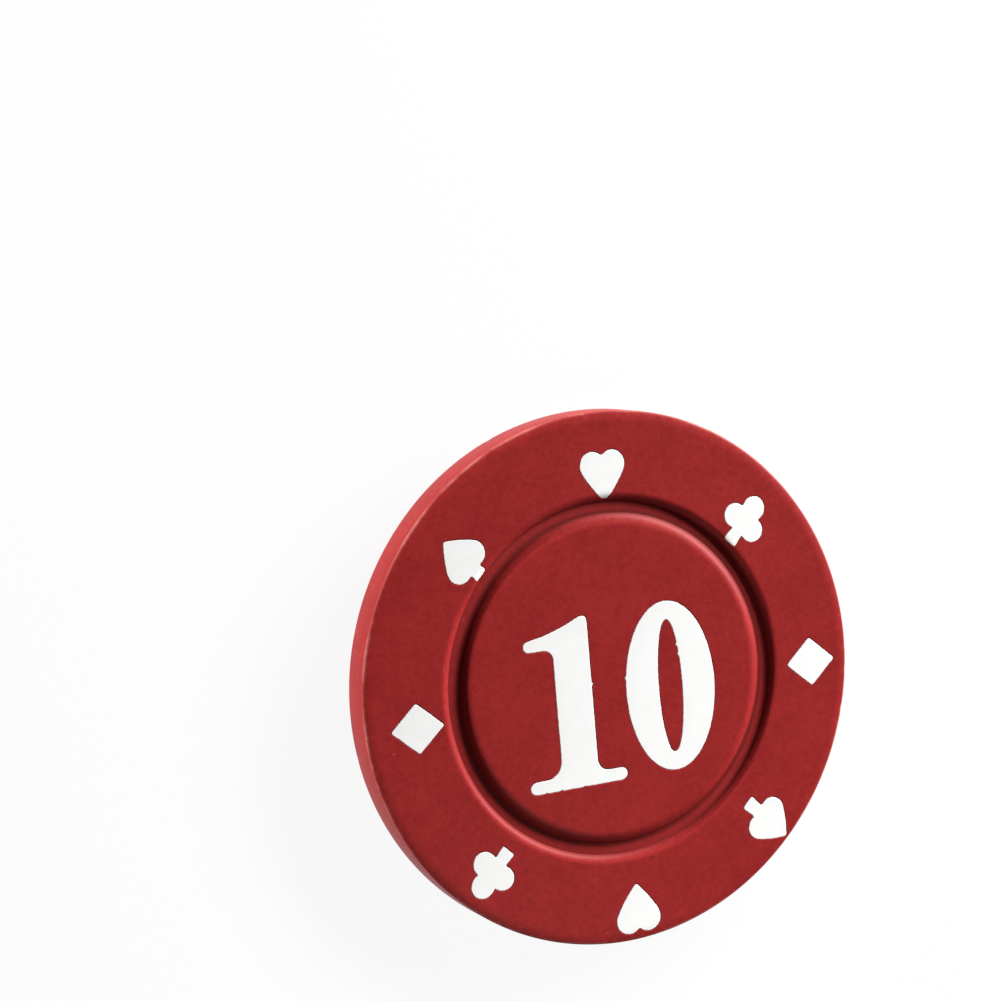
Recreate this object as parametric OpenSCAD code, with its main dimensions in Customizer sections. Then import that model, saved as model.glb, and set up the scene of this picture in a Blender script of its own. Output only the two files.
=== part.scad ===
// Poker chip: two moulded half shells closed round a steel weight, with white
// foil marks hot-stamped into both faces. It lies flat with its axis on +Z and
// the middle of its lower face on the origin.

/* [Chip] */
// Outside diameter
chip_d = 40; // [37:0.5:46]
// Thickness over the two faces
chip_t = 3; // [2.8:0.1:4]
// Width of the rounded edge of the rim, measured inward along the face
edge_w = 0.8; // [0.4:0.05:1.1]
// Drop of the rounded edge from the face to the straight wall of the rim
edge_drop = 0.1; // [0.05:0.05:0.6]
// Width of the flat ring between the rim and the groove, which carries the suits
ring_w = 5.2; // [4.2:0.05:6]

/* [Groove] */
// Width of the groove floor
groove_w = 0.95; // [0.5:0.05:1.5]
// Depth of the groove below the face
groove_depth = 0.4; // [0.3:0.05:0.6]
// Width of the rounded shoulder on each side of the groove
shoulder_w = 0.8; // [0.4:0.05:1]

/* [Shell joint] */
// Width of the tongue on the back shell
tongue_w = 1.2; // [0.8:0.1:2]
// Height of the tongue above the joint plane
tongue_h = 0.6; // [0.3:0.05:0.7]
// Clearance round the tongue in its slot
joint_gap = 0.05; // [0.02:0.01:0.1]

/* [Weight] */
// Diameter of the steel weight
slug_d = 22; // [14:0.5:22.6]
// Thickness of the steel weight
slug_t = 1.2; // [0.6:0.1:1.4]
// Chamfer on the edges of the weight
slug_chamfer = 0.15; // [0.05:0.05:0.25]
// Clearance beside the weight and above it
slug_gap = 0.05; // [0.02:0.01:0.1]

/* [Stamping] */
// How far the stamp landed from the middle of the chip, to the right
print_x = 0.41; // [-1.2:0.01:1.2]
// How far the stamp landed from the middle of the chip, upward
print_y = -1.2; // [-1.4:0.01:1.4]
// Depth of the stamped marks
stamp_depth = 0.08; // [0.04:0.01:0.12]
// How far the foil lies below the face
foil_inset = 0.02; // [0.01:0.005:0.03]

/* [Suit marks] */
// How far inside the middle of the ring the suits stand
suit_inset = 0.22; // [0:0.01:0.4]
// Width of a heart
heart_w = 3.7; // [3:0.1:4.2]
// Height of a heart
heart_h = 3.8; // [3:0.1:4.4]
// How far each lobe of a heart reaches past its middle
heart_lap = 0.23; // [0.1:0.01:0.4]
// How much the sides of a heart bulge, as the extra angle of each at the point
heart_belly = 8; // [2:1:14]
// Width of a spade
spade_w = 3.6; // [3:0.1:4.2]
// Height of a spade without its stem
spade_leaf_h = 3.35; // [3:0.05:3.8]
// How far each lobe of a spade reaches past its middle
spade_lap = 0.14; // [0.06:0.01:0.3]
// How much the sides of a spade bulge, as the extra angle of each at the point
spade_belly = 7; // [2:1:14]
// Radius of the three lobes of a club
club_lobe_r = 0.93; // [0.7:0.01:1.1]
// Distance from the middle of a club's upper lobe down to the other two
club_drop = 1.37; // [1.1:0.01:1.6]
// Distance between the middles of a club's lower lobes
club_spread = 1.86; // [1.4:0.02:2.2]
// Height of a club with its stem
club_h = 4.2; // [3.9:0.05:4.6]
// Reach of a spade's stem below its lobes
spade_stem_h = 1.15; // [0.6:0.05:1.4]
// Width of a stem where it leaves the lobes
stem_neck_w = 0.84; // [0.5:0.02:1.1]
// Width of a stem at its foot
stem_foot_w = 1.16; // [0.8:0.02:1.6]
// Width of a diamond across the ring
diamond_w = 3.76; // [3:0.1:4.2]
// Height of a diamond along the radius
diamond_h = 4.2; // [3.4:0.1:4.6]

/* [Digits] */
// Height of the digits
digit_h = 12.9; // [10:0.1:14]
// Gap between the two digits
digit_gap = 0.4; // [0.2:0.1:1]
// Width of the zero
zero_w = 7.47; // [5:0.1:8]
// Width of the opening in the zero
counter_w = 1.96; // [1:0.05:3]
// Height of the opening in the zero
counter_h = 10.15; // [7:0.05:11]
// Width of the stem of the one
one_stem_w = 2.97; // [1.5:0.05:3.5]
// Thickness of the foot of the one
one_foot_t = 0.96; // [0.6:0.05:1.4]
// Reach of the foot to the left of the stem
one_foot_left = 2.67; // [2:0.05:3]
// Reach of the foot to the right of the stem
one_foot_right = 2.38; // [2:0.05:3]
// Reach of the flag to the left of the stem
one_flag_l = 2.36; // [1.6:0.05:3]
// Drop from the top of the one to the tip of the flag
one_flag_drop = 1.3; // [0.8:0.05:2]
// Thickness of the flag at its tip
one_flag_t = 0.86; // [0.5:0.05:1.2]

/* [Hidden] */
$fn = 180;
// Overrun of every cut past the face it opens
overrun = 1;
// Segments of each arc of a mark's outline, and of an oval
arc_steps = 10;
oval_steps = 72;

// Radii of the two flat bands and of the groove between them, from the rim inward
chip_r = chip_d / 2;
ring_out_r = chip_r - edge_w;
ring_mid_r = ring_out_r - ring_w / 2;
ring_in_r = ring_out_r - ring_w;
disc_r = ring_in_r - shoulder_w - groove_w;
disc_flat_r = disc_r - shoulder_w;

// The joint plane lies halfway up
half_t = chip_t / 2;

// How much lower than the zero the one stands at its top
one_top_drop = 0.14;
// Arcs in the outline of the one
one_corner_r = 0.3;
one_flag_sag = 0.18;
one_flag_crook_r = 0.75;
one_bracket_left_r = 1.3;
one_bracket_right_r = 0.9;

// Marks of one face: the suits clockwise from the top, then the digits
SUITS = ["heart_top", "club_upper_right", "diamond_right", "spade_lower_right",
         "heart_bottom", "club_lower_left", "diamond_left", "spade_upper_left"];
DIGITS = ["digit_one", "digit_zero"];
MARKS = concat(SUITS, DIGITS);
FACES = ["front", "back"];
suit_step = 360 / len(SUITS);
suit_kinds = 4;

plastic_red = [0.60, 0.15, 0.15];
foil_white = [0.97, 0.97, 0.96];
steel_grey = [0.62, 0.63, 0.65];

// Radius of the arc that leaves a face level and drops by d over the width w
function shoulder_r(w, d) = (w * w + d * d) / (2 * d);

// Points of an arc about c from angle a to angle b
function arc(c, r, a, b) =
    [for (i = [0 : arc_steps]) c + r * [cos(a + (b - a) * i / arc_steps), sin(a + (b - a) * i / arc_steps)]];

// The same arc without its first point, to follow another arc that ends there
function arc_on(c, r, a, b) = [for (i = [1 : arc_steps]) arc(c, r, a, b)[i]];

// Points of an arc from p to q whose middle lies a distance sag to the left of the way
function bow(p, q, sag) =
    let (span = norm(q - p),
         r = shoulder_r(span / 2, sag),
         left = [p.y - q.y, q.x - p.x] / span,
         c = (p + q) / 2 - (r - sag) * left,
         mid = atan2(left.y, left.x),
         half = asin(span / 2 / r))
    arc(c, r, mid + half, mid - half);

// Points of an oval about the origin
function oval(w, h) =
    [for (i = [0 : oval_steps - 1]) [w / 2 * cos(360 * i / oval_steps), h / 2 * sin(360 * i / oval_steps)]];

// A closed outline from its right half, which starts and ends on the axis
function both_sides(right) =
    concat(right, [for (i = [len(right) - 2 : -1 : 1]) [-right[i].x, right[i].y]]);

// Right half of a leaf with its point at the bottom: a side arc that leaves the point, then the lobe
// that it runs into. The lobe passes the axis by lap, and the side leaves the point wider by belly
// than a straight side would.
function leaf_half(w, h, lap, belly) =
    let (lobe_r = (w / 2 + lap) / 2,
         c = [w / 2 - lobe_r, h / 2 - lobe_r],
         tip = [0, -h / 2],
         rise = c - tip,
         lean = atan2(rise.x, rise.y) + asin(lobe_r / norm(rise)) + belly,
         inward = [-cos(lean), sin(lean)],
         side_r = (rise * rise - lobe_r * lobe_r) / (2 * (rise * inward - lobe_r)),
         k = tip + side_r * inward,
         meet = atan2(c.y - k.y, c.x - k.x))
    concat(arc(k, side_r, -lean, meet), arc_on(c, lobe_r, meet, acos(-c.x / lobe_r)));

module heart() {
    polygon(both_sides(leaf_half(heart_w, heart_h, heart_lap, heart_belly)));
}

// A stem that widens from the neck to the foot
module stem(from, to) {
    polygon([[-stem_neck_w / 2, from], [-stem_foot_w / 2, to], [stem_foot_w / 2, to], [stem_neck_w / 2, from]]);
}

module spade() {
    foot = -(spade_leaf_h + spade_stem_h) / 2;
    leaf_mid = foot + spade_stem_h + spade_leaf_h / 2;
    translate([0, leaf_mid])
        rotate(180)
            polygon(both_sides(leaf_half(spade_w, spade_leaf_h, spade_lap, spade_belly)));
    stem(leaf_mid, foot);
}

module club() {
    upper = club_h / 2 - club_lobe_r;
    lower = upper - club_drop;
    translate([0, upper]) circle(club_lobe_r);
    for (side = [-1, 1]) translate([side * club_spread / 2, lower]) circle(club_lobe_r);
    polygon([[0, upper], [-club_spread / 2, lower], [club_spread / 2, lower]]);
    stem(lower, -club_h / 2);
}

module diamond() {
    polygon([[diamond_w / 2, 0], [0, diamond_h / 2], [-diamond_w / 2, 0], [0, -diamond_h / 2]]);
}

// The one, with the axis of its stem on x = 0 and half its height above the origin
module digit_one() {
    side = one_stem_w / 2;
    top = digit_h / 2 - one_top_drop;
    foot_r = one_foot_t / 2;
    foot_mid = foot_r - digit_h / 2;
    foot_top = one_foot_t - digit_h / 2;
    flag_r = one_flag_t / 2;
    flag_tip = [flag_r - side - one_flag_l, top - one_flag_drop - flag_r];
    flag_under = flag_tip.y - flag_r;
    polygon(concat(
        arc([side + one_foot_right - foot_r, foot_mid], foot_r, -90, 90),
        arc([side + one_bracket_right_r, foot_top + one_bracket_right_r], one_bracket_right_r, 270, 180),
        arc([side - one_corner_r, top - one_corner_r], one_corner_r, 0, 90),
        bow([side - 2 * one_corner_r, top], flag_tip + [0, flag_r], one_flag_sag),
        arc_on(flag_tip, flag_r, 90, 270),
        arc([-side - one_flag_crook_r, flag_under - one_flag_crook_r], one_flag_crook_r, 90, 0),
        arc([-side - one_bracket_left_r, foot_top + one_bracket_left_r], one_bracket_left_r, 360, 270),
        arc([foot_r - side - one_foot_left, foot_mid], foot_r, 90, 270)));
}

module digit_zero() {
    difference() {
        polygon(oval(zero_w, digit_h));
        polygon(oval(counter_w, counter_h));
    }
}

// Outline of mark number i where the stamp leaves it on a face
module mark_outline(i) {
    one_w = one_foot_left + one_stem_w + one_foot_right;
    digits_w = one_w + digit_gap + zero_w;
    translate([print_x, print_y]) {
        if (i < len(SUITS))
            rotate(-suit_step * i) translate([0, ring_mid_r - suit_inset]) {
                if (i % suit_kinds == 0) heart();
                if (i % suit_kinds == 1) club();
                if (i % suit_kinds == 2) diamond();
                if (i % suit_kinds == 3) spade();
            }
        if (MARKS[i] == "digit_one")
            translate([one_foot_left + (one_stem_w - digits_w) / 2, 0]) digit_one();
        if (MARKS[i] == "digit_zero")
            translate([(digits_w - zero_w) / 2, 0]) digit_zero();
    }
}

// A rounded corner that falls from the face at x over the width w: way 1 falls outward, -1 inward
module shoulder(x, w, drop, way) {
    r = shoulder_r(w, drop);
    intersection() {
        translate([x, half_t - r]) circle(r);
        translate([way > 0 ? x : x - w, half_t - drop]) square([w, drop]);
    }
}

// Half cross-section of one half of the chip, from the joint plane up to the face
module half_profile() {
    square([ring_in_r, half_t - groove_depth]);
    square([disc_flat_r, half_t]);
    shoulder(disc_flat_r, shoulder_w, groove_depth, 1);
    shoulder(ring_in_r, shoulder_w, groove_depth, -1);
    translate([ring_in_r, 0]) square([ring_out_r - ring_in_r, half_t]);
    translate([ring_in_r, 0]) square([chip_r - ring_in_r, half_t - edge_drop]);
    shoulder(ring_out_r, edge_w, edge_drop, 1);
}

// Half of the chip as a plain solid, sunk by a depth below the face
module half_blank(sunk) {
    translate([0, 0, -sunk]) rotate_extrude() half_profile();
}

// A mark's outline as a column from the joint plane up past the face
module mark_column(i) {
    linear_extrude(half_t + overrun) mark_outline(i);
}

// Half of the chip with the stamped recesses in its face
module stamped_half() {
    difference() {
        half_blank(0);
        difference() {
            for (i = [0 : len(MARKS) - 1]) mark_column(i);
            half_blank(stamp_depth);
        }
    }
}

// Puts a half that is drawn with its face up where it belongs on the chip
module on_face(face) {
    translate([0, 0, half_t]) rotate([face == "front" ? 0 : 180, 0, 0]) children();
}

// Ring of the given clearance round the tongue, on the joint plane
module tongue_ring(gap) {
    difference() {
        cylinder(h = tongue_h + gap, r = ring_mid_r + tongue_w / 2 + gap);
        translate([0, 0, -overrun])
            cylinder(h = tongue_h + gap + 2 * overrun, r = ring_mid_r - tongue_w / 2 - gap);
    }
}

// Pocket for the weight, cut upward from the joint plane
module slug_pocket(depth) {
    translate([0, 0, -overrun]) cylinder(h = depth + overrun, d = slug_d + 2 * slug_gap);
}

module front_shell() {
    color(plastic_red)
        on_face("front")
            difference() {
                stamped_half();
                slug_pocket(slug_t / 2 + slug_gap);
                tongue_ring(joint_gap);
            }
}

module back_shell() {
    color(plastic_red) {
        on_face("back")
            difference() {
                stamped_half();
                slug_pocket(slug_t / 2);
            }
        translate([0, 0, half_t]) tongue_ring(0);
    }
}

module weight_slug() {
    color(steel_grey)
        translate([0, 0, half_t - slug_t / 2])
            rotate_extrude()
                polygon([[0, 0], [slug_d / 2 - slug_chamfer, 0], [slug_d / 2, slug_chamfer],
                         [slug_d / 2, slug_t - slug_chamfer], [slug_d / 2 - slug_chamfer, slug_t], [0, slug_t]]);
}

// Foil of one mark, lying in its recess
module foil_mark(face, i) {
    color(foil_white)
        on_face(face)
            intersection() {
                mark_column(i);
                difference() {
                    half_blank(foil_inset);
                    half_blank(stamp_depth);
                }
            }
}

front_shell();
back_shell();
weight_slug();
for (face = FACES, i = [0 : len(MARKS) - 1])
    foil_mark(face, i);
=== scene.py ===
"""Poker chip, dressed: two moulded half shells, foil in their marks, a steel weight and a stage.

Lengths are in metres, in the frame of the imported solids: the chip lies flat with its axis on +Z,
the middle of its lower face is the origin, and +Y points to the top of the front print. Each half
is made face up on the joint plane and then put in its place, so both faces come from the same
functions.
"""

import math
import random
from typing import NamedTuple

import bmesh
import bpy
import numpy as np
from mathutils import Matrix, Quaternion, Vector, noise
from mathutils.bvhtree import BVHTree
from mathutils.kdtree import KDTree


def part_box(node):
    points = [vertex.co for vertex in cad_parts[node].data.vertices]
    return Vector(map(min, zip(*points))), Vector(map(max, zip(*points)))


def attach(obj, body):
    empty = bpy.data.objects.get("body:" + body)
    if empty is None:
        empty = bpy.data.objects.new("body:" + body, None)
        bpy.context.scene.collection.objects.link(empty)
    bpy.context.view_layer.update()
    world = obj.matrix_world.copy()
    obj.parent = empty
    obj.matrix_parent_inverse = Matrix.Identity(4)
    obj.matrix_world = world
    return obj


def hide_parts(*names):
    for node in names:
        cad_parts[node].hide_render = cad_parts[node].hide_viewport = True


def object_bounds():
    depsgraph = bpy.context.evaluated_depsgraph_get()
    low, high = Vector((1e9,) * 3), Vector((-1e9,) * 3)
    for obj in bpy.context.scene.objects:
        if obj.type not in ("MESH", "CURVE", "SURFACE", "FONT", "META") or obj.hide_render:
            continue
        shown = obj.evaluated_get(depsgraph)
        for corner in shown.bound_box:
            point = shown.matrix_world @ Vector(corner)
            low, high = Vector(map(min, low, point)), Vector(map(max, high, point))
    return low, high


bl_info = {
    "name": "Poker chip",
    "version": (1, 0, 0),
    "blender": (4, 5, 0),
    "location": "3D View > Sidebar > Chip",
    "description": "Moulds, stamps and finishes a poker chip round its packed solids",
    "category": "Object",
}

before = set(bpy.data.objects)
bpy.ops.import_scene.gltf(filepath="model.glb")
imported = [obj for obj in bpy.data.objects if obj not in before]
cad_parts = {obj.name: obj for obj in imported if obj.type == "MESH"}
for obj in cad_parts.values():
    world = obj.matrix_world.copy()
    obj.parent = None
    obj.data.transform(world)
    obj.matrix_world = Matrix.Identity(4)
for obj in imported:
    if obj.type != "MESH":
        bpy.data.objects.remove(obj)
packed_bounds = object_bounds()
front_low, front_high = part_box("front_shell")
slug_low, slug_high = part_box("weight_slug")

FACES = ("front", "back")
MARKS = sorted(
    node.removeprefix("front_")
    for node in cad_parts
    if node.startswith("front_") and node != "front_shell"
)

UP = Vector((0, 0, 1))
# Vertices closer than this are one vertex
WELD = 1e-7
# Edges that turn further than this stay sharp
SHARP_TURN = math.radians(32)
# The upper skin of a foil leans up at least this much, and its walls don't
SKIN_LEAST_Z = 0.2
# Height from which rays look down on a half
LOOKOUT = 0.01

# Facets across a rounded corner of a half's outline
CORNER_STEPS = 4
# A half's outline is spun through one sector, which is doubled this many times to close the round
DOUBLINGS = 3
# The stamping tool stands as far out of the face as it reaches in, so it is this many depths high
TOOL_DEPTHS = 2
# The tool's grid on a rounded face is coarser than the foil's by this much
TOOL_COARSER = 1.5
# Rings of faces in the rounded border of a foil
FOIL_LIP_RINGS = 2
# Facets round the floor, and across its raised border
FLOOR_STEPS = 64
BORDER_STEPS = 6
# The camera sees nothing nearer than this share of its distance
CLIP_SHARE = 0.05

# Seed of the front half's nicks; the back half takes the next one
NICK_SEED = 11
# Least and most of what is drawn for a nick: its size as a share of the largest, its way in from
# the wall in edge widths, and its way down from the face in edge drops
NICK_SIZE = (0.4, 1.0)
NICK_IN = (0.0, 0.3)
NICK_DOWN = (0.5, 1.1)
# How far in from the wall a nick shows, in edge widths
NICK_REACH = 0.75

# The finer wave in a ragged edge: how much shorter it is, and its share
FINER_WAVE = 2.7
FINER_SHARE = 0.5
# Waves between the noise of one mark and the noise of the next
NOISE_STEP = 10

# Distances at which the painted shade at the feet of the groove's walls, and the rubbing of the
# rim's corners with its painted highlight, begin to show, and at which they are full
DISC_FOOT = (0.00034, 0.00004)
LIP_FOOT = (0.0002, 0.00003)
RUBBED_HIGHLIGHT_CORNER = (0.00022, 0.00008)
# The same for the painted shade on the groove's floor, which is also rougher, from its middle in
# groove widths, and for scuffs on the rim's edge, from the wall in edge widths
SHADED_FLOOR = (0.8, 0.4)
SCUFFED_EDGE = (0.7, 0.2)
# The painted shade at the foot of the disc lies this far inside the groove's middle, in groove
# widths
DISC_FOOT_IN = 0.4


class Dots(NamedTuple):
    """Sparse dots: step of their loose grid, size, share that is kept and how much they show."""

    spacing: float
    size: float
    kept: float
    strength: float


DARK_SPECKS = Dots(spacing=0.0007, size=0.00011, kept=0.3, strength=0.3)
PALE_FLECKS = Dots(spacing=0.0022, size=0.00016, kept=0.45, strength=0.28)
PINHOLES = Dots(spacing=0.0013, size=0.00005, kept=0.1, strength=0.5)


class Flash(NamedTuple):
    """A bit of spare foil on the edge of a mark, or of lost foil where its reach is below 0."""

    place: Vector
    reach: float


# On the front digits only
FLASHES = {
    "digit_one": [
        Flash(Vector((-0.00186, -0.00007)), 0.00012),
        Flash(Vector((-0.00626, -0.00765)), -0.00005),
        Flash(Vector((-0.00505, -0.00765)), -0.00007),
        Flash(Vector((-0.00314, -0.00765)), -0.00005),
    ],
    "digit_zero": [
        Flash(Vector((0.00084, -0.00007)), 0.00024),
        Flash(Vector((0.00539, 0.00183)), 0.00012),
        Flash(Vector((0.00549, 0.00108)), 0.00010),
    ],
}


class Lamp(NamedTuple):
    """A soft lamp: its direction from the chip in degrees, its distance, its size and its power."""

    azimuth: float
    elevation: float
    distance: float
    width: float
    height: float
    watts: float


LAMPS = {
    "key": Lamp(azimuth=32, elevation=17.5, distance=0.4, width=0.38, height=0.07, watts=5.5),
    "rim": Lamp(azimuth=150, elevation=1.5, distance=0.4, width=0.34, height=0.013, watts=2.7),
    "fill": Lamp(azimuth=-90, elevation=49, distance=0.053, width=0.03, height=0.03, watts=0.0045),
}


def length(name, description, default):
    """A length that a user may set."""
    return bpy.props.FloatProperty(
        name=name, description=description, default=default, min=0, precision=6, unit="LENGTH"
    )


def share(name, description, default):
    """A share from 0 to 1 that a user may set."""
    return bpy.props.FloatProperty(
        name=name, description=description, default=default, min=0, max=1, subtype="FACTOR"
    )


def angle(name, description, degrees):
    """An angle that a user may set."""
    return bpy.props.FloatProperty(
        name=name, description=description, default=math.radians(degrees), subtype="ANGLE"
    )


def colour(name, description, default):
    """A colour that a user may set."""
    return bpy.props.FloatVectorProperty(
        name=name, description=description, default=default, min=0, max=1, subtype="COLOR"
    )


def count(name, description, default):
    """A count that a user may set."""
    return bpy.props.IntProperty(name=name, description=description, default=default, min=0)


class ChipMoulding(bpy.types.PropertyGroup):
    """Sizes of the two half shells."""

    radius: length("Radius", "Outside radius of the chip", front_high.x)
    half_height: length(
        "Half height", "Height of a half above the joint", front_high.z - front_low.z
    )
    edge_width: length("Edge width", "Width of the rounded edge of the rim, along the face", 0.0008)
    edge_drop: length("Edge drop", "Drop from the face to the straight wall of the rim", 0.0001)
    edge_round: length("Edge rounding", "Rounding where the edge meets the rim's wall", 0.0001)
    ring_width: length("Ring width", "Width of the flat ring that carries the suits", 0.0052)
    lip_width: length("Lip width", "Width of the shoulder from the ring into the groove", 0.00073)
    shoulder_width: length(
        "Shoulder width", "Width of the shoulder from the disc into the groove", 0.00093
    )
    groove_width: length("Groove width", "Width of the floor of the groove", 0.00089)
    groove_depth: length("Groove depth", "Depth of the groove below the face", 0.0004)
    floor_round: length("Floor rounding", "Rounding in the corners of the groove floor", 0.00008)
    flat_border: length(
        "Flat border", "Narrow border that keeps the flat faces level beside a shoulder", 0.0001
    )
    tongue_width: length("Tongue width", "Width of the tongue that joins the halves", 0.0012)
    tongue_height: length("Tongue height", "Height of the tongue", 0.0006)
    joint_gap: length("Joint gap", "Clearance round the tongue", 0.00005)
    slug_gap: length("Weight gap", "Clearance round the weight", 0.00005)
    turn_steps: count("Turn steps", "Facets round the chip", 512)
    arc_steps: count("Arc steps", "Facets across a rounded shoulder", 12)
    edge_steps: count("Edge steps", "Facets across the rounded edge of the rim", 4)
    nick_count: count("Nicks", "Small nicks along the edge of each half", 16)
    nick_width: length("Nick width", "Width of the largest nick", 0.00022)
    nick_depth: length("Nick depth", "Depth of the deepest nick", 0.00004)


class ChipPrint(bpy.types.PropertyGroup):
    """Sizes of the stamped marks and of the foil in them."""

    stamp_depth: length("Stamp depth", "Depth of the stamped marks", 0.00008)
    stamp_flare: length(
        "Stamp flare", "How much a stamped mark widens towards the face", 0.00005
    )
    stamp_reach: length(
        "Stamp reach", "How far the stamp marks the shoulder beside the ring", 0.0005
    )
    foil_inset: length("Foil inset", "How far the foil lies below the face", 0.00002)
    foil_thickness: length("Foil thickness", "Thickness of the foil", 0.00005)
    foil_gap: length("Foil gap", "Gap between the foil and the wall of its mark", 0.000015)
    foil_lip: length("Foil lip", "Width of a ring in the rounded border of the foil", 0.00003)
    foil_lip_drop: length("Foil lip drop", "How far the border of the foil falls", 0.000015)
    outline_step: length("Outline step", "Distance between the points of an outline", 0.00005)
    corner_passes: count("Corner passes", "Rounds of softening of an outline's corners", 11)
    ragged: length("Ragged edge", "How far the edge of the foil strays", 0.00002)
    ragged_length: length("Ragged length", "Length of one stray of the edge", 0.0005)
    flash_width: length("Flash width", "Width of the bits of spare foil on an edge", 0.00011)
    drape_step: length("Drape step", "Grid on which foil follows a rounded face", 0.00016)


class ChipFinish(bpy.types.PropertyGroup):
    """Colours, gloss, worn marks and painted light of the materials."""

    red: colour("Red", "Colour of the moulded plastic", (0.322, 0.0212, 0.0210))
    red_deep: colour("Deep red", "Colour of the plastic's darker clouds", (0.256, 0.0162, 0.0160))
    # Also the colour of the painted highlight along the rim's corners
    red_scuffed_and_highlight: colour("Scuffed red", "Colour of scuffs and of pale flecks", (0.52, 0.16, 0.14))
    # Also the colour of the painted shade in the groove
    shade_and_specks: colour("Grime", "Colour of the dirt and of the dark specks", (0.06, 0.004, 0.0038))
    # Painted shade: these darken the groove's floor and the feet of its walls
    groove_painted_shade: share("Groove dirt", "Dirt on the floor of the groove", 0.12)
    disc_foot_painted_shade: share("Disc foot dirt", "Dirt in the groove at the foot of the disc", 0.5)
    lip_foot_painted_shade: share("Lip foot dirt", "Dirt in the groove at the foot of the ring", 0.3)
    scratch_strength: share("Scratches", "How much the scratches show", 0.16)
    scuff_strength: share("Scuffs", "How much the scuffs on the edge of the rim show", 0.1)
    # Rubbing of the rim's corners: worn plastic, and a painted highlight along them
    rub_highlight_strength: share("Rubbing", "How rubbed the corners of the rim are all round", 0.14)
    rub_patch_highlight_strength: share("Rubbed patches", "How much more they are rubbed in patches", 0.95)
    plastic_roughness: share("Plastic roughness", "Roughness of the moulded plastic", 0.42)
    plastic_shine: share("Plastic shine", "Specular level of the moulded plastic", 0.08)
    foil: colour("Foil", "Colour of the foil", (0.93, 0.93, 0.92))
    foil_roughness: share("Foil roughness", "Roughness of the foil", 0.42)
    steel: colour("Steel", "Colour of the weight", (0.56, 0.56, 0.57))
    steel_roughness: share("Steel roughness", "Roughness of the weight", 0.34)


class ChipStage(bpy.types.PropertyGroup):
    """Camera, world and floor."""

    aim: bpy.props.FloatVectorProperty(
        name="Aim",
        description="Point in the plane of the front face that the camera looks at",
        default=(-0.007977, 0.014422, front_high.z),
        subtype="XYZ",
        unit="LENGTH",
    )
    distance: length("Distance", "From the aim to the camera", 0.18843)
    azimuth: angle("Azimuth", "Direction of the camera round the chip, from +X", 163.741)
    elevation: angle("Elevation", "Height of the camera above the face", 65.599)
    roll: angle("Roll", "Turn of the camera about its own axis", 99.965)
    focal_length: bpy.props.FloatProperty(
        name="Focal length", description="Lens of the camera", default=93.506, unit="CAMERA"
    )
    ambient: share("Ambient", "Even light from all round", 0.012)
    floor: colour("Floor", "Colour of the floor", (0.9, 0.9, 0.9))
    floor_glow: share("Floor glow", "How much of the floor is plain white to the camera", 0.92)
    floor_radius: length("Floor radius", "Radius of the floor up to its raised border", 3.0)
    floor_rise: length("Floor rise", "Height of the raised border of the floor", 0.65)
    floor_gap: length("Floor gap", "Gap between the floor and the chip", 0.00002)


class Value:
    """An output of a finish's nodes. Arithmetic on values adds Math nodes."""

    def __init__(self, finish, socket):
        self.finish = finish
        self.socket = socket

    def math(self, operation, *operands):
        settings = {"operation": operation}
        return self.finish.node("ShaderNodeMath", settings, dict(enumerate(operands)))

    def __add__(self, other):
        return self.math("ADD", self, other)

    def __radd__(self, other):
        return self.math("ADD", other, self)

    def __sub__(self, other):
        return self.math("SUBTRACT", self, other)

    def __rsub__(self, other):
        return self.math("SUBTRACT", other, self)

    def __mul__(self, other):
        return self.math("MULTIPLY", self, other)

    def __rmul__(self, other):
        return self.math("MULTIPLY", other, self)

    def __pow__(self, other):
        return self.math("POWER", self, other)

    def __abs__(self):
        return self.math("ABSOLUTE", self)

    def most(self, other):
        """The larger of two values."""
        return self.math("MAXIMUM", self, other)


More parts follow.
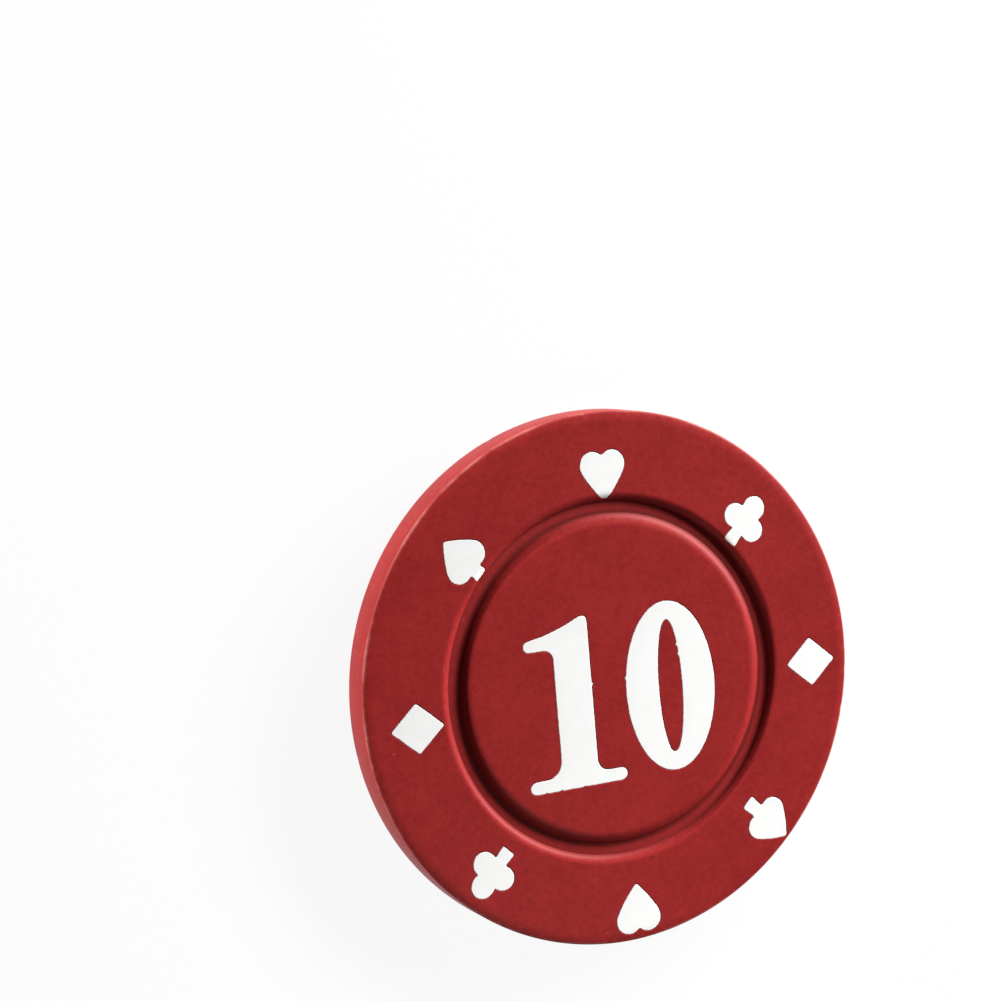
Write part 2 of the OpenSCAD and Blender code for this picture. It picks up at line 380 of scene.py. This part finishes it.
class Finish:
    """A material, or the world, under construction."""

    def __init__(self, tree):
        self.tree = tree
        self.tree.nodes.clear()

    def node(self, kind, settings=None, inputs=None, output=0):
        """Adds a node: its settings first, then the values or links of its sockets."""
        made = self.tree.nodes.new(kind)
        for name, value in (settings or {}).items():
            setattr(made, name, value)
        for socket, value in (inputs or {}).items():
            if isinstance(value, Value):
                self.tree.links.new(value.socket, made.inputs[socket])
            else:
                made.inputs[socket].default_value = value
        return Value(self, made.outputs[output] if made.outputs else None)

    def place(self):
        """The point on the piece, in the frame."""
        return self.node("ShaderNodeTexCoord", output="Object")

    def along(self, place, axis):
        """How far a place lies along an axis of the frame."""
        return self.node("ShaderNodeSeparateXYZ", inputs={"Vector": place}, output=axis)

    def stretched(self, place, scale):
        """A place with its axes scaled."""
        return self.node("ShaderNodeMapping", inputs={"Vector": place, "Scale": scale})

    def clouds(self, place, size, detail=3.0, roughness=0.5):
        """Soft clouds of about the given size."""
        sockets = {"Vector": place, "Scale": 1 / size, "Detail": detail, "Roughness": roughness}
        return self.node("ShaderNodeTexNoise", inputs=sockets)

    def fade(self, value, low, high):
        """A smooth step from 0 at low to 1 at high, either way round."""
        settings = {"interpolation_type": "SMOOTHSTEP"}
        sockets = {"Value": value, "From Min": low, "From Max": high}
        return self.node("ShaderNodeMapRange", settings, sockets)

    def dots(self, place, kind):
        """Sparse dots: one in each cell of a loose grid, with only a share of them kept."""
        sockets = {"Vector": place, "Scale": 1 / kind.spacing}
        near = self.node("ShaderNodeTexVoronoi", inputs=sockets)
        lot = self.node("ShaderNodeTexVoronoi", inputs=sockets, output="Color")
        drawn = self.node("ShaderNodeSeparateColor", inputs={"Color": lot})
        chosen = self.fade(drawn, 1 - kind.kept, 1 - kind.kept / 2)
        reach = kind.size / kind.spacing
        return self.fade(near, reach, reach / 2) * chosen

    def blend(self, factor, first, second):
        """A colour between two colours."""
        settings = {"data_type": "RGBA"}
        sockets = {"Factor": factor, 6: first, 7: second}
        return self.node("ShaderNodeMix", settings, sockets, output=2)

    def bump(self, height, depth):
        """A normal for a relief whose full height is a depth in metres."""
        sockets = {"Height": height, "Strength": 1.0, "Distance": depth}
        return self.node("ShaderNodeBump", inputs=sockets)

    def surface(self, sockets):
        """The closing shader."""
        shader = self.node("ShaderNodeBsdfPrincipled", inputs=sockets)
        self.node("ShaderNodeOutputMaterial", inputs={"Surface": shader})


def new_material(name):
    """An empty node material and its finish."""
    material = bpy.data.materials.new(name)
    material.use_nodes = True
    return material, Finish(material.node_tree)


def opaque(rgb):
    """A colour with its alpha."""
    return (*rgb, 1.0)


def dulled(rgb, kept):
    """A colour with a share of its brightness."""
    return tuple(kept * part for part in rgb)


def slant(one, other):
    """The distance that two distances at right angles make."""
    return (one * one + other * other) ** 0.5


def varied(middle, pattern, spread):
    """A number that a pattern carries to both sides of its middle."""
    return middle - spread / 2 + spread * pattern


def red_plastic():
    """Moulded red plastic: matte grain, specks, scratches, painted shade in the groove and worn
    corners of the rim with a painted highlight.
    """
    look = bpy.context.scene.chip_finish
    shape = bpy.context.scene.chip_moulding
    material, finish = new_material("red_plastic_finish")
    place = finish.place()
    clouds = finish.clouds(place, size=0.0035)
    mottle = finish.clouds(place, size=0.0004, detail=4.0, roughness=0.65)
    grain = finish.clouds(place, size=0.00012, detail=2.0)

    radius = slant(finish.along(place, "X"), finish.along(place, "Y"))
    wide = shape.groove_width
    off_middle = radius - (face_radii(shape).floor_out - wide / 2)
    in_groove = finish.fade(abs(off_middle), *(wide * part for part in SHADED_FLOOR))
    disc_foot = finish.fade(abs(off_middle + wide * DISC_FOOT_IN), *DISC_FOOT)
    lip_foot = finish.fade(abs(off_middle - wide / 2), *LIP_FOOT)
    # Painted shade: the groove's floor and the feet of its walls are darkened
    painted_shade = (
        look.groove_painted_shade * in_groove
        + look.disc_foot_painted_shade * disc_foot
        + look.lip_foot_painted_shade * lip_foot
    )

    edge = (shape.radius - shape.edge_width * part for part in SCUFFED_EDGE)
    scuffs = finish.fade(mottle, low=0.58, high=0.72) * finish.fade(radius, *edge)
    # The rim's corners are painted paler all round and in patches: worn plastic, and a painted
    # highlight
    off_joint = abs(finish.along(place, "Z") - front_low.z)
    off_corner = off_joint - (shape.half_height - shape.edge_drop)
    corner = finish.fade(slant(radius - shape.radius, off_corner), *RUBBED_HIGHLIGHT_CORNER)
    rub_patches = finish.fade(clouds, low=0.42, high=0.62)
    rubbed_highlight = corner * (look.rub_highlight_strength + look.rub_patch_highlight_strength * rub_patches * mottle)

    specks = finish.dots(place, DARK_SPECKS)
    flecks = finish.dots(place, PALE_FLECKS)
    strands = finish.clouds(finish.stretched(place, (1.0, 0.06, 1.0)), size=0.00016, detail=1.0)
    scratched = finish.fade(clouds, low=0.6, high=0.75)
    scratches = finish.fade(abs(strands - 0.5), low=0.006, high=0.0) * scratched

    tone = finish.fade(0.65 * mottle + 0.35 * clouds, low=0.34, high=0.66)
    red = finish.blend(tone, opaque(look.red_deep), opaque(look.red))
    # Worn marks and specks, painted shade in the groove and a painted highlight on the rim's
    # corners, laid over the plastic's tone
    marks_and_painted_light = (
        (painted_shade * (0.7 + 0.6 * mottle), look.shade_and_specks),
        (DARK_SPECKS.strength * specks, look.shade_and_specks),
        (PALE_FLECKS.strength * flecks, look.red_scuffed_and_highlight),
        (look.scratch_strength * scratches, look.red_scuffed_and_highlight),
        (look.scuff_strength * scuffs, look.red_scuffed_and_highlight),
        (rubbed_highlight, look.red_scuffed_and_highlight),
    )
    for amount, tint in marks_and_painted_light:
        red = finish.blend(amount, red, opaque(tint))

    roughness = varied(look.plastic_roughness, mottle, spread=0.12)
    roughness = roughness + 0.14 * in_groove - 0.1 * scratches
    # Shares of the full depth: grain and flecks stand out, scratches and specks go in
    relief = 0.55 * grain + 0.3 * mottle - 0.3 * scratches - 0.4 * specks + 0.3 * flecks
    finish.surface(
        {
            "Base Color": red,
            "Roughness": roughness,
            "Normal": finish.bump(relief, depth=0.000012),
            "Specular IOR Level": look.plastic_shine,
        }
    )
    return material


def white_foil():
    """Hot-stamped white film, slightly uneven, with a few pinholes that show the plastic."""
    look = bpy.context.scene.chip_finish
    material, finish = new_material("white_foil_finish")
    place = finish.place()
    ripple = finish.clouds(place, size=0.0009)
    grain = finish.clouds(place, size=0.00016, detail=2.0)
    pinholes = finish.dots(place, PINHOLES)
    dull = dulled(look.foil, kept=0.985)
    tone = finish.fade(ripple, low=0.35, high=0.65)
    white = finish.blend(tone, opaque(dull), opaque(look.foil))
    white = finish.blend(PINHOLES.strength * pinholes, white, opaque(look.red_scuffed_and_highlight))
    relief = 0.6 * ripple + 0.4 * grain - 0.5 * pinholes
    finish.surface(
        {
            "Base Color": white,
            "Roughness": varied(look.foil_roughness, ripple, spread=0.14),
            "Normal": finish.bump(relief, depth=0.000003),
            "IOR": 1.48,
        }
    )
    return material


def slug_steel():
    """Bare stamped steel with the lines of the rolled strip."""
    look = bpy.context.scene.chip_finish
    material, finish = new_material("slug_steel_finish")
    place = finish.place()
    lines = finish.clouds(finish.stretched(place, (0.02, 1.0, 1.0)), size=0.00012, detail=2.0)
    stains = finish.clouds(place, size=0.004)
    tone = finish.fade(0.6 * lines + 0.4 * stains, low=0.35, high=0.65)
    dull = dulled(look.steel, kept=0.8)
    finish.surface(
        {
            "Base Color": finish.blend(tone, opaque(dull), opaque(look.steel)),
            "Metallic": 1.0,
            "Roughness": varied(look.steel_roughness, stains, spread=0.2),
            "Normal": finish.bump(lines, depth=0.000004),
        }
    )
    return material


def to_viewer(finish):
    """1 for the rays that show a surface to the camera, also in gloss and through glass."""
    seen = finish.node("ShaderNodeLightPath", output="Is Camera Ray")
    mirrored = finish.node("ShaderNodeLightPath", output="Is Glossy Ray")
    through = finish.node("ShaderNodeLightPath", output="Is Transmission Ray")
    return seen.most(mirrored.most(through))


def pale_floor():
    """A pale floor that shows white and keeps a soft shadow."""
    stage = bpy.context.scene.chip_stage
    material, finish = new_material("pale_floor")
    paint = finish.node("ShaderNodeBsdfDiffuse", inputs={"Color": opaque(stage.floor)})
    glow = finish.node("ShaderNodeEmission", inputs={"Strength": 1.0})
    shown = stage.floor_glow * to_viewer(finish)
    mixed = finish.node("ShaderNodeMixShader", inputs={0: shown, 1: paint, 2: glow})
    finish.node("ShaderNodeOutputMaterial", inputs={"Surface": mixed})
    return material


def on_face(face):
    """Takes a half that is drawn face up on the joint plane to its place on the chip."""
    turn = Matrix.Rotation(math.pi if face == "back" else 0.0, 4, "X")
    return Matrix.Translation((0, 0, front_low.z)) @ turn


def show(name, mesh, material):
    """Puts a finished mesh in the scene under a name."""
    mesh.materials.append(material)
    obj = bpy.data.objects.new(name, mesh)
    bpy.context.scene.collection.objects.link(obj)
    return obj


def to_mesh(bm, name):
    """Closes a bmesh into a smooth mesh that keeps its sharp edges."""
    mesh = bpy.data.meshes.new(name)
    bm.to_mesh(mesh)
    bm.free()
    mesh.shade_smooth()
    mesh.set_sharp_from_angle(angle=SHARP_TURN)
    return mesh


def arc(middle, radius, start, end, steps):
    """Points of an arc about a middle, from one angle to another, in degrees."""
    turns = [math.radians(start + (end - start) * i / steps) for i in range(steps + 1)]
    return [middle + radius * Vector((math.cos(t), math.sin(t))) for t in turns]


def fall(start, level, width, drop, way, steps):
    """A rounded shoulder that leaves a face at a radius and falls outward (1) or inward (-1)."""
    radius = (width * width + drop * drop) / (2 * drop)
    middle = Vector((start, level - radius))
    return arc(middle, radius, 90, 90 - way * math.degrees(math.asin(width / radius)), steps)


class FaceRadii(NamedTuple):
    """Where the disc, the floor of the groove and the ring begin and end."""

    disc_out: float
    floor_out: float
    ring_in: float
    ring_out: float


def face_radii(shape):
    """The radii of a face."""
    ring_out = shape.radius - shape.edge_width
    ring_in = ring_out - shape.ring_width
    floor_out = ring_in - shape.lip_width
    disc_out = floor_out - shape.groove_width - shape.shoulder_width
    return FaceRadii(disc_out, floor_out, ring_in, ring_out)


def half_outline(face, shape):
    """Cross-section of a half, from the disc over the rim to the pocket, and corners to round."""
    radii = face_radii(shape)
    top, deep = shape.half_height, shape.groove_depth
    disc = fall(radii.disc_out, top, shape.shoulder_width, deep, 1, shape.arc_steps)
    lip = fall(radii.ring_in, top, shape.lip_width, deep, -1, shape.arc_steps)[::-1]
    edge = fall(radii.ring_out, top, shape.edge_width, shape.edge_drop, 1, shape.edge_steps)
    beside = Vector((shape.flat_border, 0))
    face_line = [disc[0] - beside, *disc, *lip, lip[-1] + beside, edge[0] - beside, *edge]
    corners = [
        (disc[-1], shape.floor_round),
        (lip[0], shape.floor_round),
        (edge[-1], shape.edge_round),
    ]

    # The front half has the slot for the tongue and takes up the clearances
    slotted = face == "front"
    spare = shape.joint_gap if slotted else 0.0
    tongue = shape.tongue_height + spare if slotted else -shape.tongue_height
    tongue_mid = radii.ring_out - shape.ring_width / 2
    tongue_out = tongue_mid + shape.tongue_width / 2 + spare
    tongue_in = tongue_mid - shape.tongue_width / 2 - spare
    pocket = slug_high.x + shape.slug_gap
    ceiling = (slug_high.z - slug_low.z) / 2 + (shape.slug_gap if slotted else 0.0)
    joint_line = [
        (shape.radius, 0),
        (tongue_out, 0),
        (tongue_out, tongue),
        (tongue_in, tongue),
        (tongue_in, 0),
        (pocket, 0),
        (pocket, ceiling),
    ]
    return face_line + [Vector(point) for point in joint_line], corners


def moulded_half(face):
    """One half of the chip, face up, before it is stamped."""
    shape = bpy.context.scene.chip_moulding
    outline, corners = half_outline(face, shape)
    bm = bmesh.new()
    verts = [bm.verts.new((p.x, 0, p.y)) for p in outline]
    for pair in zip(verts, verts[1:]):
        bm.edges.new(pair)
    for corner, rounding in corners:
        at = min(bm.verts, key=lambda v: (v.co - Vector((corner.x, 0, corner.y))).length)
        bmesh.ops.bevel(
            bm,
            geom=[at],
            offset=rounding,
            affect="VERTICES",
            segments=CORNER_STEPS,
            profile=0.5,
            material=-1,
        )
    turn_round(bm, shape.turn_steps)
    bmesh.ops.holes_fill(bm, edges=[e for e in bm.edges if e.is_boundary], sides=0)
    bmesh.ops.recalc_face_normals(bm, faces=bm.faces)
    nick_edge(bm, face, shape)
    return bm


def turn_round(bm, steps):
    """Spins an outline through one sector, then doubles the sector until it closes."""
    sectors = 2**DOUBLINGS
    turn = math.tau / sectors
    bmesh.ops.spin(
        bm,
        geom=bm.verts[:] + bm.edges[:],
        cent=(0, 0, 0),
        axis=UP,
        angle=turn,
        steps=steps // sectors,
    )
    for doubling in range(DOUBLINGS):
        made = bmesh.ops.duplicate(bm, geom=bm.verts[:] + bm.edges[:] + bm.faces[:])["geom"]
        verts = [v for v in made if isinstance(v, bmesh.types.BMVert)]
        onward = Matrix.Rotation(turn * 2**doubling, 3, UP)
        bmesh.ops.rotate(bm, verts=verts, cent=(0, 0, 0), matrix=onward)
    bmesh.ops.remove_doubles(bm, verts=bm.verts, dist=WELD)


def nick_edge(bm, face, shape):
    """Presses small nicks into the rounded edge of the rim."""
    bm.normal_update()
    edge_in = shape.radius - shape.edge_width * NICK_REACH
    edge = [v for v in bm.verts if v.co.z > 0 and v.co.xy.length > edge_in]
    normals = [v.normal.copy() for v in edge]
    tree = KDTree(len(edge))
    for i, v in enumerate(edge):
        tree.insert(v.co, i)
    tree.balance()
    draw = random.Random(FACES.index(face) + NICK_SEED)
    for _ in range(shape.nick_count):
        turn = draw.uniform(0, math.tau)
        size = draw.uniform(*NICK_SIZE)
        reach = shape.radius - draw.uniform(*NICK_IN) * shape.edge_width
        height = shape.half_height - shape.edge_drop * draw.uniform(*NICK_DOWN)
        middle = Vector((reach * math.cos(turn), reach * math.sin(turn), height))
        width = size * shape.nick_width
        for _, i, gap in tree.find_range(middle, 2 * width):
            edge[i].co -= normals[i] * size * shape.nick_depth * math.exp(-((gap / width) ** 2))


def mark_loops(face, mark):
    """Outline of a mark, face up: the border of its solid's upper skin, foil on the left."""
    bm = bmesh.new()
    bm.from_mesh(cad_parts[f"{face}_{mark}"].data)
    bm.transform(on_face(face).inverted())
    bmesh.ops.remove_doubles(bm, verts=bm.verts, dist=WELD)
    bm.normal_update()
    rest = [f for f in bm.faces if f.normal.z < SKIN_LEAST_Z]
    bmesh.ops.delete(bm, geom=rest, context="FACES")
    border = [e.link_loops[0] for e in bm.edges if e.is_boundary]
    ahead = {corner.vert: corner.link_loop_next.vert for corner in border}
    loops = []
    while ahead:
        at = next(iter(ahead))
        loop = []
        while at in ahead:
            loop.append(at.co.xy.copy())
            at = ahead.pop(at)
        loops.append(loop)
    bm.free()
    return loops


def even_loop(loop, step):
    """The same closed loop with its points an even step apart."""
    points = np.array([*loop, loop[0]])
    spans = np.linalg.norm(np.diff(points, axis=0), axis=1)
    along = np.concatenate(([0.0], np.cumsum(spans)))
    stops = np.linspace(0.0, along[-1], round(along[-1] / step), endpoint=False)
    return np.stack([np.interp(stops, along, points[:, axis]) for axis in (0, 1)], axis=1)


def outward(points):
    """Unit directions out of the foil along a loop that has the foil on its left."""
    way = np.roll(points, -1, axis=0) - np.roll(points, 1, axis=0)
    away = np.stack([way[:, 1], -way[:, 0]], axis=1)
    return away / np.linalg.norm(away, axis=1, keepdims=True)


def on_lands(points, shape, sizes):
    """The points of a loop that the stamp reaches: on the disc, on the ring and just beside it."""
    radii = face_radii(shape)
    out = np.linalg.norm(points, axis=1)
    return points[(out < radii.disc_out) | (out > radii.ring_in - sizes.stamp_reach)]


def stamped_loops(face, mark, shape, sizes):
    """Outline of a mark as stamped: soft corners, a slightly ragged edge and bits of spare foil."""
    flashes = FLASHES.get(mark, []) if face == "front" else []
    layer = len(MARKS) * FACES.index(face) + MARKS.index(mark)
    loops = []
    for loop in mark_loops(face, mark):
        reached = on_lands(even_loop(loop, sizes.outline_step), shape, sizes)
        points = even_loop(reached, sizes.outline_step)
        for _ in range(sizes.corner_passes):
            points = (np.roll(points, 1, axis=0) + 2 * points + np.roll(points, -1, axis=0)) / 4
        stray = []
        for x, y in points:
            at = Vector((x, y, layer * sizes.ragged_length * NOISE_STEP)) / sizes.ragged_length
            wave = noise.noise(at) + FINER_SHARE * noise.noise(at * FINER_WAVE)
            push = sizes.ragged * wave
            for flash in flashes:
                gap = (Vector((x, y)) - flash.place).length
                push += flash.reach * math.exp(-((gap / sizes.flash_width) ** 2))
            stray.append(push)
        loops.append(points + outward(points) * np.array(stray)[:, None])
    return loops


def face_up(bm):
    """Turns the faces of an open sheet upward."""
    bmesh.ops.recalc_face_normals(bm, faces=bm.faces)
    if sum(f.normal.z for f in bm.faces) < 0:
        bmesh.ops.reverse_faces(bm, faces=bm.faces)


def sheet(loops):
    """A flat sheet inside closed loops."""
    bm = bmesh.new()
    for points in loops:
        verts = [bm.verts.new((x, y, 0)) for x, y in points]
        for pair in zip(verts, verts[1:] + verts[:1]):
            bm.edges.new(pair)
    if len(loops) == 1:
        bmesh.ops.contextual_create(bm, geom=bm.edges[:])
    else:
        bmesh.ops.triangle_fill(bm, edges=bm.edges[:], use_beauty=True, normal=UP)
    face_up(bm)
    return bm


def on_grid(bm, step):
    """Cuts a flat sheet along an even grid, so that it can follow a rounded face."""
    for axis in (Vector((1, 0, 0)), Vector((0, 1, 0))):
        reach = [v.co.dot(axis) for v in bm.verts]
        low, high = min(reach), max(reach)
        cuts = math.ceil((high - low) / step)
        for i in range(1, cuts):
            place = axis * (low + (high - low) * i / cuts)
            everything = bm.verts[:] + bm.edges[:] + bm.faces[:]
            bmesh.ops.bisect_plane(bm, geom=everything, plane_co=place, plane_no=axis)


def lies_flat(loops, shape):
    """True where a mark keeps to the flat of the ring or of the disc."""
    radii = face_radii(shape)
    out = np.concatenate([np.linalg.norm(points, axis=1) for points in loops])
    on_ring = out.min() > radii.ring_in and out.max() < radii.ring_out
    return on_ring or out.max() < radii.disc_out


def drape(bm, face_tree, sunk):
    """Lays a sheet a depth below the face, keeping the heights that it has."""
    for v in bm.verts:
        hit = face_tree.ray_cast(Vector((v.co.x, v.co.y, LOOKOUT)), -UP)[0]
        if hit is None:
            raise RuntimeError("a mark reaches past the rim of the chip")
        v.co.z += hit.z - sunk


def thicken(bm, height):
    """Makes a sheet a closed slab by extruding it, and returns the vertices of its new side."""
    made = bmesh.ops.extrude_face_region(bm, geom=bm.faces[:], use_keep_orig=True)["geom"]
    moved = [v for v in made if isinstance(v, bmesh.types.BMVert)]
    bmesh.ops.translate(bm, verts=moved, vec=UP * height)
    bmesh.ops.recalc_face_normals(bm, faces=bm.faces)
    return moved


def stamp(face, mark, face_tree):
    """What the stamp presses out of the face for one mark, with walls that lean outward."""
    shape = bpy.context.scene.chip_moulding
    sizes = bpy.context.scene.chip_print
    outlines = stamped_loops(face, mark, shape, sizes)
    loops = [points + outward(points) * sizes.foil_gap for points in outlines]
    bm = sheet(loops)
    if not lies_flat(loops, shape):
        on_grid(bm, TOOL_COARSER * sizes.drape_step)
    drape(bm, face_tree, sizes.stamp_depth)
    upper = thicken(bm, TOOL_DEPTHS * sizes.stamp_depth)
    bm.normal_update()
    for v in upper:
        if any(abs(f.normal.z) < SKIN_LEAST_Z for f in v.link_faces):
            level = Vector((v.normal.x, v.normal.y, 0)).normalized()
            v.co += TOOL_DEPTHS * sizes.stamp_flare * level
    return bm


def stamped_half(face):
    """One half of the chip with all its marks pressed in, as a mesh in its place on the chip."""
    half = moulded_half(face)
    face_tree = BVHTree.FromBMesh(half)
    pressed = bmesh.new()
    for mark in MARKS:
        mesh = to_mesh(stamp(face, mark, face_tree), mark)
        pressed.from_mesh(mesh)
        bpy.data.meshes.remove(mesh)
    blank = bpy.data.objects.new("blank", to_mesh(half, "blank"))
    tool = bpy.data.objects.new("tool", to_mesh(pressed, "tool"))
    for obj in (blank, tool):
        bpy.context.scene.collection.objects.link(obj)
    cut = blank.modifiers.new("stamp", "BOOLEAN")
    cut.operation = "DIFFERENCE"
    cut.solver = "MANIFOLD"
    cut.object = tool
    stamped = bmesh.new()
    stamped.from_object(blank, bpy.context.evaluated_depsgraph_get())
    for obj in (blank, tool):
        mesh = obj.data
        bpy.data.objects.remove(obj)
        bpy.data.meshes.remove(mesh)
    bmesh.ops.remove_doubles(stamped, verts=stamped.verts, dist=WELD)
    stamped.transform(on_face(face))
    return to_mesh(stamped, f"{face}_moulding")


def foil(face, mark, face_tree):
    """The film in one mark, with a border that rounds off, as a mesh in its place on the chip."""
    shape = bpy.context.scene.chip_moulding
    sizes = bpy.context.scene.chip_print
    loops = stamped_loops(face, mark, shape, sizes)
    bm = sheet(loops)
    inner = bm.faces[:]
    for _ in range(FOIL_LIP_RINGS):
        bmesh.ops.inset_region(
            bm, faces=inner, thickness=sizes.foil_lip, use_boundary=True, use_even_offset=True
        )
        inner = [f for f in bm.faces if not any(v.is_boundary for v in f.verts)]
    if not lies_flat(loops, shape):
        on_grid(bm, sizes.drape_step)
    for v in bm.verts:
        if v.is_boundary:
            v.co.z -= sizes.foil_lip_drop
    drape(bm, face_tree, sizes.foil_inset)
    thicken(bm, -sizes.foil_thickness)
    bm.transform(on_face(face))
    return to_mesh(bm, f"{face}_{mark}_foil")


class CHIP_OT_shells(bpy.types.Operator):
    """Mould the two half shells and press the marks into them"""

    bl_idname = "chip.shells"
    bl_label = "Half shells"

    def execute(self, context):
        material = red_plastic()
        for face in FACES:
            obj = show(f"{face}_moulding", stamped_half(face), material)
            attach(obj, "root")
            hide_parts(f"{face}_shell")
        return {"FINISHED"}


class CHIP_OT_foils(bpy.types.Operator):
    """Lay the white foil in every mark"""

    bl_idname = "chip.foils"
    bl_label = "Foil marks"

    def execute(self, context):
        material = white_foil()
        for face in FACES:
            half = moulded_half(face)
            face_tree = BVHTree.FromBMesh(half)
            half.free()
            for mark in MARKS:
                obj = show(f"{face}_{mark}_foil", foil(face, mark, face_tree), material)
                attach(obj, "root")
                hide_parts(f"{face}_{mark}")
        return {"FINISHED"}


class CHIP_OT_weight(bpy.types.Operator):
    """Give the steel weight its finish"""

    bl_idname = "chip.weight"
    bl_label = "Steel weight"

    def execute(self, context):
        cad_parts["weight_slug"].material_slots[0].material = slug_steel()
        return {"FINISHED"}


def toward(azimuth, elevation):
    """Unit direction from the chip, by its angles from +X and above the face."""
    flat = Vector((math.cos(azimuth), math.sin(azimuth), 0))
    return flat * math.cos(elevation) + UP * math.sin(elevation)


def hang(name, lamp):
    """Hangs a soft lamp that faces the chip."""
    light = bpy.data.lights.new(name, "AREA")
    light.shape = "RECTANGLE"
    light.size = lamp.width
    light.size_y = lamp.height
    light.energy = lamp.watts
    obj = bpy.data.objects.new(name, light)
    away = toward(math.radians(lamp.azimuth), math.radians(lamp.elevation))
    obj.location = away * lamp.distance
    obj.rotation_mode = "QUATERNION"
    obj.rotation_quaternion = away.to_track_quat("Z", "Y")
    obj.visible_camera = False
    bpy.context.scene.collection.objects.link(obj)


def floor_mesh(stage):
    """A round floor that turns up at its border, so that low views see it too."""
    bm = bmesh.new()
    bmesh.ops.create_circle(bm, cap_ends=True, segments=FLOOR_STEPS, radius=stage.floor_radius)
    bmesh.ops.translate(bm, verts=bm.verts, vec=(0, 0, packed_bounds[0].z - stage.floor_gap))
    middle = Vector((stage.floor_radius, stage.floor_rise))
    bend = arc(middle, stage.floor_rise, -90, 0, BORDER_STEPS)
    for low, high in zip(bend, bend[1:]):
        border = [e for e in bm.edges if e.is_boundary]
        made = bmesh.ops.extrude_edge_only(bm, edges=border)["geom"]
        verts = [v for v in made if isinstance(v, bmesh.types.BMVert)]
        wider = high.x / low.x
        bmesh.ops.scale(bm, verts=verts, vec=(wider, wider, 1))
        bmesh.ops.translate(bm, verts=verts, vec=UP * (high.y - low.y))
    face_up(bm)
    return to_mesh(bm, "floor")


def light_world(scene, stage):
    """Gives the scene a world of even light."""
    scene.world = bpy.data.worlds.new("studio")
    scene.world.use_nodes = True
    finish = Finish(scene.world.node_tree)
    sockets = {"Color": opaque((1, 1, 1)), "Strength": stage.ambient}
    sky = finish.node("ShaderNodeBackground", inputs=sockets)
    finish.node("ShaderNodeOutputWorld", inputs={"Surface": sky})


def set_camera(scene, stage):
    """Gives the scene a camera at its angle to the front face."""
    camera = bpy.data.cameras.new("camera")
    camera.lens = stage.focal_length
    camera.clip_start = stage.distance * CLIP_SHARE
    obj = bpy.data.objects.new("camera", camera)
    away = toward(stage.azimuth, stage.elevation)
    obj.location = Vector(stage.aim) + away * stage.distance
    obj.rotation_mode = "QUATERNION"
    obj.rotation_quaternion = (-away).to_track_quat("-Z", "Y") @ Quaternion(UP, stage.roll)
    scene.collection.objects.link(obj)
    scene.camera = obj


class CHIP_OT_stage(bpy.types.Operator):
    """Set up the floor, the lamps, the world and the camera"""

    bl_idname = "chip.stage"
    bl_label = "Stage"

    def execute(self, context):
        scene = context.scene
        stage = scene.chip_stage
        scene.view_settings.view_transform = "Standard"
        show("floor", floor_mesh(stage), pale_floor())
        for name, lamp in LAMPS.items():
            hang(name, lamp)
        light_world(scene, stage)
        set_camera(scene, stage)
        return {"FINISHED"}


class CHIP_PT_maker(bpy.types.Panel):
    """Lists the steps that make the chip"""

    bl_idname = "CHIP_PT_maker"
    bl_label = "Poker chip"
    bl_space_type = "VIEW_3D"
    bl_region_type = "UI"
    bl_category = "Chip"

    def draw(self, context):
        for step in STEPS:
            self.layout.operator(step.bl_idname)


STEPS = (CHIP_OT_shells, CHIP_OT_foils, CHIP_OT_weight, CHIP_OT_stage)
GROUPS = {
    "chip_moulding": ChipMoulding,
    "chip_print": ChipPrint,
    "chip_finish": ChipFinish,
    "chip_stage": ChipStage,
}


def register():
    for cls in (*GROUPS.values(), *STEPS, CHIP_PT_maker):
        bpy.utils.register_class(cls)
    for name, group in GROUPS.items():
        setattr(bpy.types.Scene, name, bpy.props.PointerProperty(type=group))


def unregister():
    for name in GROUPS:
        delattr(bpy.types.Scene, name)
    for cls in (CHIP_PT_maker, *STEPS, *GROUPS.values()):
        bpy.utils.unregister_class(cls)


def main():
    register()
    bpy.ops.chip.shells()
    bpy.ops.chip.foils()
    bpy.ops.chip.weight()
    bpy.ops.chip.stage()


if __name__ == "__main__":
    main()
